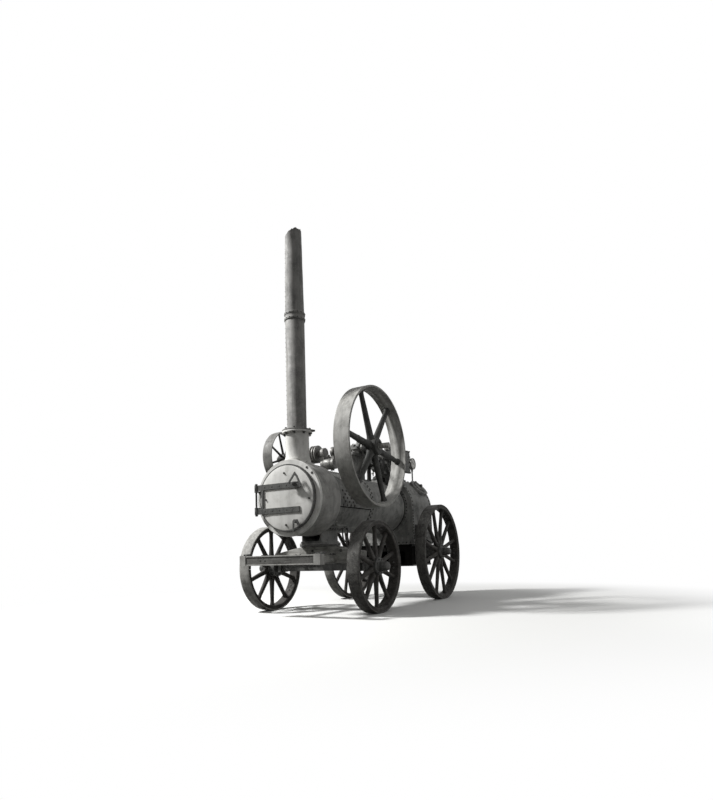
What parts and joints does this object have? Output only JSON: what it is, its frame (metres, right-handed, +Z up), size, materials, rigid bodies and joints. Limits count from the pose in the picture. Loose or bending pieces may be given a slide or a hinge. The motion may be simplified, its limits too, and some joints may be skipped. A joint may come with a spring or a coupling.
{
  "type": "portable steam engine",
  "caption": "Horse-drawn portable steam engine: riveted boiler on spoked wheels, overhead crankshaft with flywheel, tall hinged chimney, steering fore-carriage.",
  "frame": {"origin": "on the ground, under the middle of the overall length and width", "axes": "+X towards the smokebox and draught end, +Y towards the flywheel side (the engine's left), +Z up"},
  "size_m": [3.64, 1.954, 4.833],
  "materials": {
    "boiler_plate": "weathered dark paint and scale on riveted iron plate",
    "door_plate": "pale faded paint on a flat iron door",
    "chimney_sheet": "faded grey paint and rust on rolled sheet",
    "cast_iron": "dull dark cast iron with old oil",
    "wheel_wood": "dark weathered timber",
    "tyre_iron": "worn forged iron, paler on the tread",
    "frame_wood": "grey weathered timber"
  },
  "bodies": {
    "chassis": {"boiler_barrel": "boiler_plate", "tube_plate": "cast_iron", "smokebox_shell": "boiler_plate", "smokebox_ring": "boiler_plate", "hinge_post": "cast_iron", "chimney_base": "boiler_plate", "firebox_wrapper": "boiler_plate", "backhead": "boiler_plate", "ashpan": "cast_iron", "manhole": "boiler_plate", "cylinder_block": "cast_iron", "steam_chest": "cast_iron", "safety_valve": "cast_iron", "feed_pump": "cast_iron", "slide_bars": "cast_iron", "crosshead": "cast_iron", "crank_saddle": "boiler_plate", "crank_bracket_l": "boiler_plate", "crank_bracket_r": "boiler_plate", "pressure_gauge": "cast_iron", "water_gauge": "cast_iron", "rear_axle_bracket_l": "cast_iron", "rear_axle_bracket_r": "cast_iron", "pedestal": "boiler_plate"},
    "smokebox_door": {"smokebox_door": "door_plate", "door_straps": "cast_iron", "door_latch": "cast_iron"},
    "firehole_door": {"firehole_door": "cast_iron"},
    "chimney": {"chimney_lower": "chimney_sheet", "chimney_collar": "chimney_sheet", "chimney_upper": "chimney_sheet"},
    "crank": {"crankshaft": "cast_iron", "flywheel": "cast_iron", "belt_pulley": "cast_iron", "eccentric_sheave": "cast_iron"},
    "connecting_rod": {"connecting_rod": "cast_iron"},
    "eccentric_rod": {"eccentric_rod": "cast_iron"},
    "forecarriage": {"turntable": "cast_iron", "bolster": "frame_wood", "front_axle": "cast_iron", "hound_l": "frame_wood", "hound_r": "frame_wood", "splinter_bar": "frame_wood"},
    "wheel_front_left": {"tyre_fl": "tyre_iron", "wheel_fl": "wheel_wood"},
    "wheel_front_right": {"tyre_fr": "tyre_iron", "wheel_fr": "wheel_wood"},
    "wheel_rear_left": {"tyre_rl": "tyre_iron", "wheel_rl": "wheel_wood"},
    "wheel_rear_right": {"tyre_rr": "tyre_iron", "wheel_rr": "wheel_wood"}
  },
  "joints": [
    {"name": "steering", "type": "hinge", "parent": "chassis", "child": "forecarriage", "pos_m": [0.945, 0, 0.82], "axis": [0, 0, 1], "range_deg": [-40, 40]},
    {"name": "front_left_roll", "type": "hinge", "parent": "forecarriage", "child": "wheel_front_left", "pos_m": [0.945, 0.79, 0.555], "axis": [0, 1, 0], "continuous": true},
    {"name": "front_right_roll", "type": "hinge", "parent": "forecarriage", "child": "wheel_front_right", "pos_m": [0.945, -0.79, 0.555], "axis": [0, 1, 0], "continuous": true},
    {"name": "rear_left_roll", "type": "hinge", "parent": "chassis", "child": "wheel_rear_left", "pos_m": [-1.11, 0.79, 0.71], "axis": [0, 1, 0], "continuous": true},
    {"name": "rear_right_roll", "type": "hinge", "parent": "chassis", "child": "wheel_rear_right", "pos_m": [-1.11, -0.79, 0.71], "axis": [0, 1, 0], "continuous": true},
    {"name": "crank_turn", "type": "hinge", "parent": "chassis", "child": "crank", "pos_m": [0.678, 0, 2.066], "axis": [0, 1, 0], "continuous": true},
    {"name": "connecting_rod_pin", "type": "hinge", "parent": "crank", "child": "connecting_rod", "pos_m": [0.678, 0, 1.916], "axis": [0, 1, 0], "continuous": true},
    {"name": "eccentric_strap", "type": "hinge", "parent": "crank", "child": "eccentric_rod", "pos_m": [0.64163, 0.208, 2.087], "axis": [0, 1, 0], "continuous": true},
    {"name": "smokebox_door_hinge", "type": "hinge", "parent": "chassis", "child": "smokebox_door", "pos_m": [1.6643, -0.43655, 1.395], "axis": [0, 0, -1], "range_deg": [0, 110]},
    {"name": "firehole_door_hinge", "type": "hinge", "parent": "chassis", "child": "firehole_door", "pos_m": [-1.6363, 0.248, 1.19], "axis": [0, 0, -1], "range_deg": [0, 120]},
    {"name": "chimney_fold", "type": "hinge", "parent": "chassis", "child": "chimney", "pos_m": [1.183, 0, 2.225], "axis": [0, -1, 0], "range_deg": [0, 84]}
  ],
  "couplings": [
    {"joint": "connecting_rod_pin", "follows": "crank_turn", "ratio": -1},
    {"joint": "eccentric_strap", "follows": "crank_turn", "ratio": -1}
  ]
}
